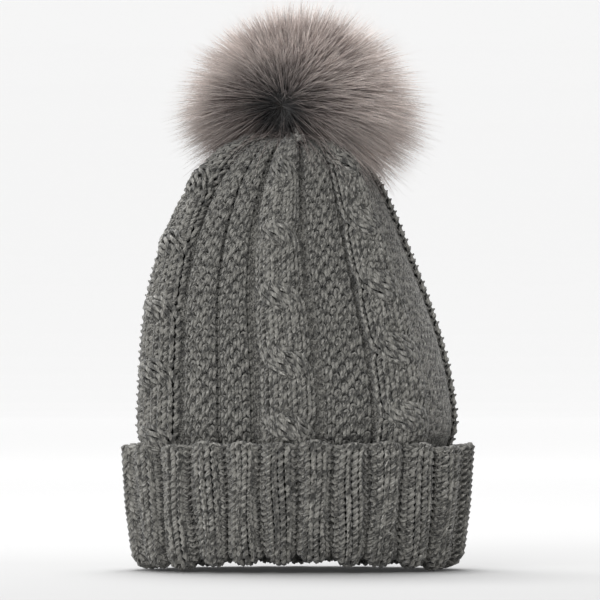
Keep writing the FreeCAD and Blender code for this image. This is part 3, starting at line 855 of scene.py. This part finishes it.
def ball_profile(radius, half_height, neck_radius):
    """Half outline of the ball from its neck's foot to its top: radius times the sine and half height times
    the cosine of an even turn, with a straight neck below."""
    turn = np.linspace(np.pi - np.arcsin(neck_radius / radius), 0.03, 40)
    across = np.concatenate([[neck_radius, neck_radius], radius * np.sin(turn)])
    foot = BALL_MIDDLE[2] + half_height * np.cos(turn[0])
    height = np.concatenate([[NECK_BOTTOM, (NECK_BOTTOM + foot) / 2],
                             BALL_MIDDLE[2] + half_height * np.cos(turn)])
    return across, height


outer = turned(*ball_profile(BACKING_RADIUS, BACKING_HALF_HEIGHT, NECK_RADIUS), BALL_SIDES,
               BACKING_PLEATS, PLEAT_DEPTH)
inner = turned(*ball_profile(BACKING_RADIUS - BACKING_WALL, BACKING_HALF_HEIGHT - BACKING_WALL,
                             NECK_RADIUS - BACKING_WALL * 0.6), BALL_SIDES, BACKING_PLEATS, PLEAT_DEPTH)
shell = np.concatenate([outer, inner[::-1]])
faces, bake = shell_faces(len(shell), BALL_SIDES)
pom_cloth = add_piece("pom_backing_cloth", shell.reshape(-1, 3), [faces], backing_cloth, "pom",
                      replaces=("pom_backing",), slot="fur_backing")
add_map(pom_cloth, "OFBake", bake)


def capped_faces(rings, sides):
    """Faces of a stack of rings closed by a flat cap at each end, and their bake map: the wall in the upper
    part and the caps as two discs below it."""
    ring, side = np.meshgrid(np.arange(rings - 1), np.arange(sides), indexing="ij")
    after = (side + 1) % sides
    walls = np.stack([ring * sides + side, ring * sides + after, (ring + 1) * sides + after,
                      (ring + 1) * sides + side], -1).reshape(-1, 4)
    wall_map = np.stack([0.01 + 0.98 * np.stack([side, side + 1, side + 1, side], -1) / sides,
                         0.22 + 0.76 * np.stack([ring, ring, ring + 1, ring + 1], -1) / (rings - 1)], -1)
    rim = np.arange(sides)
    turn = 2 * np.pi * rim / sides
    disc = 0.09 * np.stack([np.cos(turn), np.sin(turn)], -1)
    bake = np.concatenate([wall_map.reshape(-1, 2), disc[::-1] + (0.15, 0.11), disc + (0.65, 0.11)])
    return [walls, rim[None, ::-1], (rings - 1) * sides + rim[None]], bake


fibre_fill = mottled("loose_polyester_fill", 0.9, 0.4, (0.62, 0.62, 0.60), (0.88, 0.88, 0.86),
                     (420, 5), 0.0012)
fill_turn = np.linspace(0.03, np.pi - 0.50, 44)
fill_radius = BACKING_RADIUS - BACKING_WALL - 0.0008
fill_half = BACKING_HALF_HEIGHT - BACKING_WALL - 0.0008
fill_across = fill_radius * np.sin(fill_turn) * (0.98 + 0.02 * np.cos(6 * fill_turn))
fill_height = BALL_MIDDLE[2] + fill_half * np.cos(fill_turn)
rings = turned(np.concatenate([fill_across, [0.0092, 0.0092, 0.0004]]),
               np.concatenate([fill_height, [0.2712, 0.2768, 0.2769]]), FILL_SIDES)[::-1]
lumps = 0.98 + 0.02 * np.cos(7 * np.arange(FILL_SIDES) * 2 * np.pi / FILL_SIDES)
rings[:, :, :2] = BALL_MIDDLE[:2] + (rings[:, :, :2] - BALL_MIDDLE[:2]) * lumps[:, None]
polygons, bake = capped_faces(len(rings), FILL_SIDES)
stuffing = add_piece("pom_stuffing_fill", rings.reshape(-1, 3), polygons, fibre_fill, "pom",
                     replaces=("pom_stuffing",), slot="fibre_fill")
add_map(stuffing, "OFBake", bake)

sewing_thread = plied_yarn("dark_sewing_thread", (0.04, 0.038, 0.036), (0.11, 0.105, 0.10),
                           (0.2, 0.19, 0.18), 3)
thread_turn = np.linspace(0, 2 * np.pi, THREAD_POINTS)
thread_wave = NECK_RADIUS + 0.0010 + 0.0004 * np.cos(BACKING_PLEATS * thread_turn)
thread_path = np.stack([BALL_MIDDLE[0] + thread_wave * np.cos(thread_turn),
                        thread_wave * np.sin(thread_turn),
                        0.2677 + 0.0003 * np.sin(BACKING_PLEATS * thread_turn)], -1)
add_yarns("pom_gathering_thread", [thread_path[None]], [np.full((1, THREAD_POINTS), THREAD_RADIUS)],
          [unit(thread_path - BALL_MIDDLE)[None]], sewing_thread, "pom", replaces=("pom_gather_thread",),
          slot="sewing_thread")

# --- Tie yarn, knots and disc ------------------------------------------------------------------------
# Two loops of paler plied yarn, linked by a knot, hold the pom: one through the moulded disc inside the
# ball, one down through the gathered crown and a two-hole button to an end knot. A short spare end lies
# forward on the crown, knotted at its tip.
TIE_X = -0.003298
NECK_KNOT_HEIGHT = 0.2642
TIE_RADIUS = 0.00098
LEG_SPACING = 0.0018
TIE_TURN = 0.0048
END_REACH = 0.031

tie_yarn = plied_yarn("pale_tie_yarn", (0.26, 0.25, 0.235), (0.50, 0.48, 0.45), (0.75, 0.73, 0.70))


def plied(path, outward, radius, plies=2):
    """The plies of a cord along a path: each keeps half a radius from the path and winds once round it in
    every turn length. Returns their paths, radii and outward directions."""
    along = unit(np.gradient(path, axis=0))
    side = unit(np.cross(along, outward))
    up = np.cross(side, along)
    run = np.concatenate([[0], np.cumsum(np.linalg.norm(np.diff(path, axis=0), axis=1))])
    angle = 2 * np.pi * (run / TIE_TURN + np.arange(plies)[:, None] / plies)
    lines = path + 0.48 * radius * (np.cos(angle)[..., None] * side + np.sin(angle)[..., None] * up)
    return lines, np.full(lines.shape[:2], 0.54 * radius), np.broadcast_to(up, lines.shape)


def add_cords(name, cords, material, body, **fixing):
    """One piece of several plied cords, each given as (path, outward, radius)."""
    paths, radii, outwards = zip(*[plied(*cord) for cord in cords])
    return add_yarns(name, paths, radii, outwards, material, body, **fixing)


def bent_loop(low, high, closed):
    """Line up one leg, over a half circle at the top and down the other leg, and under a second half circle
    where it is closed."""
    leg = np.linspace(low, high, 24)
    arch = np.linspace(np.pi, 0, 18)[1:-1]
    x = np.concatenate([np.full(24, -LEG_SPACING), LEG_SPACING * np.cos(arch), np.full(24, LEG_SPACING)])
    z = np.concatenate([leg, high + LEG_SPACING * np.sin(arch), leg[::-1]])
    if closed:
        x = np.concatenate([x, LEG_SPACING * np.cos(arch[::-1]), [-LEG_SPACING]])
        z = np.concatenate([z, low - LEG_SPACING * np.sin(arch), [low]])
    path = np.stack([TIE_X + x, 0 * x, z], -1)
    return path, np.broadcast_to([0.0, 1.0, 0.0], path.shape), TIE_RADIUS


def overhand(middle, size, radius, tall=0.42):
    """A pulled-tight knot: the trefoil line (sin t + 2 sin 2t, cos t - 2 cos 2t, -sin 3t), scaled to
    size."""
    t = np.linspace(0, 2 * np.pi, 120)
    line = np.stack([(np.sin(t) + 2 * np.sin(2 * t)) / 3, (np.cos(t) - 2 * np.cos(2 * t)) / 3,
                     -np.sin(3 * t) * tall], -1)
    return np.array(middle) + line * (size - radius), unit(line + [0, 0, 0.01]), radius


add_cords("pom_tie_loop_yarn", [bent_loop(0.2693, 0.2729, True)], tie_yarn, "pom_anchor",
          replaces=("pom_tie_loop",), slot="tie_yarn")
add_cords("button_tie_loop_yarn", [bent_loop(0.2485, 0.2581, False)], tie_yarn, "hat",
          replaces=("button_tie_yarn",), slot="tie_yarn")
add_cords("tie_end_knot_yarn", [overhand((TIE_X, 0, 0.2484), 0.0037, 0.00115)], tie_yarn, "hat",
          replaces=("tie_end_knot",), slot="tie_yarn")
add_cords("neck_knot_yarn", [overhand((TIE_X, 0, NECK_KNOT_HEIGHT), 0.0030, 0.0010, 0.9)], tie_yarn,
          "neck_knot", replaces=("tie_neck_knot",), slot="tie_yarn")

forward = np.linspace(0.0022, END_REACH, 60)
crown_top = np.interp(forward, knit_depth[::-1][:TABLE_SIZE], knit_height[::-1][:TABLE_SIZE])
end_path = np.stack([TIE_X + 0.0032 * forward / END_REACH + 0.0006 * np.sin(forward * 420), -forward,
                     np.minimum(crown_top + 0.0054, NECK_KNOT_HEIGHT + 0.0012)], -1)
end_up = np.broadcast_to([0.0, 0.0, 1.0], end_path.shape)
tip_knot = overhand(end_path[-1] + [0.0010, -0.0012, -0.0022], 0.0040, 0.0011, 0.5)
tie_end = add_cords("tie_yarn_end", [(end_path, end_up, TIE_RADIUS), tip_knot], tie_yarn, None,
                    slot="tie_yarn")
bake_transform(tie_end)

button_resin = mottled("dark_button_resin", 0.35, 0.0, (0.05, 0.045, 0.042), (0.20, 0.18, 0.165),
                       (240, 5), 0.0001, span=(0.35, 0.65), relief=(900, 2))
disc_board = mottled("pale_moulded_disc", 0.6, 0.0, (0.58, 0.56, 0.52), (0.78, 0.76, 0.72),
                     (1100, 3), 0.0002)
for node_name, material in (("inside_button", button_resin), ("pom_anchor_disc", disc_board)):
    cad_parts[node_name].data.materials.clear()
    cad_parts[node_name].data.materials.append(material)

# --- Drawn-in top and back seam ----------------------------------------------------------------------
# The knitting's own yarn end runs through the last row of loops, draws the top shut and is knotted
# inside. The same yarn laces the two edge columns together up the centre back.
GATHERED_LOOPS = 24
SEAM_WAVE = 0.0012
SEAM_RADIUS = 0.0010

draw_turn = np.linspace(0, 2 * np.pi, 241)
draw_radius = 0.0064 + 0.0006 * np.cos(GATHERED_LOOPS * draw_turn)
draw_path = np.stack([TIE_X + draw_radius * np.cos(draw_turn), draw_radius * np.sin(draw_turn),
                      0.2594 + 0.0006 * np.sin(GATHERED_LOOPS * draw_turn)], -1)
draw_out = unit(draw_path - [TIE_X, 0, 0.245])
add_cords("crown_draw_yarn_loop", [(draw_path, draw_out, 0.0013)], knit_yarn, "hat",
          replaces=("crown_draw_yarn",), slot="knit_yarn")
add_cords("draw_yarn_end_knot", [overhand((0.0109, 0, 0.2512), 0.0026, 0.0009, 0.7)], knit_yarn, "hat",
          replaces=("draw_yarn_knot",), slot="knit_yarn")

seam_length = np.linspace(0.070, 0.270, 900)
seam_turn = 2 * np.pi * seam_length / (2 * ROW)
seam_in = -0.0020 - DRAWN_IN + 0.0007 * np.cos(2 * seam_turn) - waist_at(seam_length)
seam_arc = ROUND / 2 + SEAM_WAVE * np.sin(seam_turn)
crown_seam, crown_seam_out = knit_surface(seam_arc, seam_length, seam_in)[:2]
cuff_seam_length = np.linspace(0.002, CUFF_LENGTH - 0.004, 420)
cuff_seam_turn = 2 * np.pi * cuff_seam_length / (2 * CUFF_ROW)
cuff_seam_arc = ROUND / 2 + SEAM_WAVE * np.sin(cuff_seam_turn)
cuff_seam_in = rib_relief(cuff_seam_arc) + 0.0004 + 0.0008 * np.cos(2 * cuff_seam_turn)
cuff_seam, cuff_seam_out = cuff_surface(cuff_seam_arc, cuff_seam_length, cuff_seam_in)
add_cords("back_seam_lacing", [(crown_seam, crown_seam_out, SEAM_RADIUS),
                               (cuff_seam, cuff_seam_out, SEAM_RADIUS)],
          knit_yarn, "hat", replaces=("back_seam_yarn",), slot="knit_yarn")

# --- Care label --------------------------------------------------------------------------------------
# A blank woven satin tape folded double, sewn to the inside of the centre back by its two ends with six
# stitches, and hanging free below them.
LABEL_WIDTH = 0.030
LABEL_TOP = 0.0766
LABEL_FOLD = 0.0350
TAPE_THICKNESS = 0.00028
LAYER_GAP = 0.0007
LABEL_OUT = -0.0078
LABEL_CURL = 0.0010
WARP_SPACING = 0.00055
WEFT_SPACING = 0.00075
LABEL_STITCHES = 6
STITCH_REACH = 0.0017
STITCH_HEIGHT = 0.0745
STITCH_THREAD_RADIUS = 0.00038

satin_tape, tape_tree, tape_shader = new_material("woven_satin_tape", 0.5, sheen=0.2)[:3]
weave_map = tape_tree.nodes.new("ShaderNodeUVMap")
weave_map.uv_map = "weave"
weave_split = tape_tree.nodes.new("ShaderNodeSeparateXYZ")
tape_tree.links.new(weave_map.outputs["UV"], weave_split.inputs[0])
warp, weft = [math(tape_tree, "SINE", math(tape_tree, "MULTIPLY", output, 2 * np.pi / spacing))
              for output, spacing in zip(weave_split.outputs, (WARP_SPACING, WEFT_SPACING))]
weave_height = ramp(tape_tree, math(tape_tree, "MULTIPLY", warp, weft), -1, 1)
# Painted shade: the tape's colour follows the weave's height, darker in the dips between threads.
tape_tree.links.new(srgb_mix(tape_tree, "MIX", weave_height, (0.60, 0.59, 0.56), (0.84, 0.83, 0.80)),
                    tape_shader.inputs["Base Color"])
bump(tape_tree, tape_shader, weave_height, 0.00012)

tape_turn = np.linspace(np.pi, 0, 9)
tape_height = np.concatenate([np.linspace(LABEL_TOP, LABEL_FOLD, 34)[:-1],
                              LABEL_FOLD - LAYER_GAP / 2 * np.sin(tape_turn),
                              np.linspace(LABEL_FOLD, LABEL_TOP, 34)[1:]])
tape_layer = np.concatenate([np.full(33, 1.0), -np.cos(tape_turn), np.full(33, -1.0)])
tape_out = LABEL_OUT + LAYER_GAP / 2 * tape_layer
tape_run = np.concatenate([[0], np.cumsum(np.hypot(np.diff(tape_height), np.diff(tape_out)))])
tape_across = np.linspace(-LABEL_WIDTH / 2, LABEL_WIDTH / 2, 25)
free_share = np.clip((0.055 - tape_height) / 0.02, 0, 1)[:, None]
curl = LABEL_CURL * (tape_across / (LABEL_WIDTH / 2)) ** 2 * free_share
face_out = -np.gradient(tape_height, tape_run)[:, None]
face_up = np.gradient(tape_out, tape_run)[:, None]
layers = []
for half in (-0.5, 0.5):
    shift = half * TAPE_THICKNESS
    layers.append(knit_surface(ROUND / 2 + tape_across + 0 * curl,
                               tape_height[:, None] + shift * face_up + 0 * curl,
                               tape_out[:, None] - curl + shift * face_out)[0])
rings = np.concatenate([layers[0], layers[1][:, ::-1]], axis=1)
polygons, bake = capped_faces(len(rings), 50)
label_tape = add_piece("care_label_tape", rings.reshape(-1, 3), polygons, satin_tape, None,
                       replaces=("care_label", "label_hem"), slot="label_tape")
add_map(label_tape, "OFBake", bake)
weave_of_point = np.stack([np.tile(np.concatenate([tape_across, tape_across[::-1]]), len(rings)),
                           np.repeat(tape_run, 50)], -1)
add_map(label_tape, "weave", weave_of_point[np.concatenate([part.ravel() for part in polygons])])
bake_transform(label_tape)

stitch_middle = (np.arange(LABEL_STITCHES) - 2.5)[:, None] * LABEL_WIDTH / LABEL_STITCHES
stitch_line = np.linspace(-STITCH_REACH, STITCH_REACH, 15)
stitch_dip = LABEL_OUT - 0.0008 + 0.0014 * (np.abs(stitch_line) / STITCH_REACH) ** 4 + 0 * stitch_middle
stitch_path, stitch_out = knit_surface(ROUND / 2 + stitch_middle + stitch_line,
                                       STITCH_HEIGHT + 0 * stitch_dip, stitch_dip)[:2]
add_yarns("label_hem_stitches", [stitch_path], [np.full(stitch_dip.shape, STITCH_THREAD_RADIUS)],
          [-stitch_out], sewing_thread, "hat", replaces=("label_stitches",), slot="sewing_thread")

# --- Floor, backdrop and light -----------------------------------------------------------------------
# A pale painted floor runs back from the hat and curves up into a wall, paler with distance. One soft
# square light hangs above and behind, one stands in front to the left, and the room is evenly lit.
FLOOR_GREY = 0.51
FLOOR_NEAR_GLOW = 0.03
FLOOR_FAR_GLOW = 0.61
ROOM_LIGHT = 0.42
SWEEP_COLUMNS = 13

pale_floor, floor_tree, floor_shader, floor_place = new_material("pale_floor_paint", 0.9)
floor_shader.inputs["Base Color"].default_value = (FLOOR_GREY, FLOOR_GREY, FLOOR_GREY, 1)
floor_shader.inputs["Emission Color"].default_value = (1, 1, 1, 1)
floor_split = floor_tree.nodes.new("ShaderNodeSeparateXYZ")
floor_tree.links.new(floor_place, floor_split.inputs[0])
floor_glow = ramp(floor_tree, floor_split.outputs[1], 0.1, 2.4, FLOOR_NEAR_GLOW, FLOOR_FAR_GLOW)
floor_tree.links.new(floor_glow, floor_shader.inputs["Emission Strength"])
sweep_turn = np.linspace(0, np.pi / 2, 24)
sweep_curve = np.stack([5.0 + np.sin(sweep_turn), 1 - np.cos(sweep_turn)], -1)
profile = np.concatenate([[[-6.0, 0.0]], sweep_curve, [[6.0, 6.0]]])
sweep_x = np.linspace(-6, 6, SWEEP_COLUMNS)
grid = np.concatenate([np.repeat(sweep_x, len(profile))[:, None], np.tile(profile, (SWEEP_COLUMNS, 1))], 1)
column, step = np.meshgrid(np.arange(SWEEP_COLUMNS - 1), np.arange(len(profile) - 1), indexing="ij")
first = (column * len(profile) + step).ravel()
faces = np.stack([first, first + len(profile), first + len(profile) + 1, first + 1], -1)
sweep_mesh = bpy.data.meshes.new("floor_sweep")
sweep_mesh.from_pydata(grid.tolist(), [], faces.tolist())
sweep_mesh.materials.append(pale_floor)
floor_sweep = bpy.data.objects.new("floor_sweep", sweep_mesh)
bpy.context.scene.collection.objects.link(floor_sweep)

world = bpy.data.worlds.new("soft_studio")
world.use_nodes = True
world.node_tree.nodes["Background"].inputs[0].default_value = (1, 1, 1, 1)
world.node_tree.nodes["Background"].inputs[1].default_value = ROOM_LIGHT
bpy.context.scene.world = world


def soft_box(name, place, aim, size, power):
    """A square soft light at a place, turned to face its aim."""
    data = bpy.data.lights.new(name, "AREA")
    data.shape = "SQUARE"
    data.size = size
    data.energy = power
    lamp = bpy.data.objects.new(name, data)
    lamp.location = place
    direction = np.array(aim) - np.array(place)
    lamp.rotation_euler = (np.arctan2(np.hypot(direction[0], direction[1]), -direction[2]), 0,
                           np.arctan2(direction[1], direction[0]) - np.pi / 2)
    bpy.context.scene.collection.objects.link(lamp)


soft_box("top_soft_box", (-0.15, 0.45, 1.9), (0, 0, 0.15), 1.0, 45)
soft_box("front_soft_box", (-0.9, -2.4, 1.4), (0, 0, 0.15), 1.6, 34)
bpy.context.scene.view_settings.view_transform = "Standard"
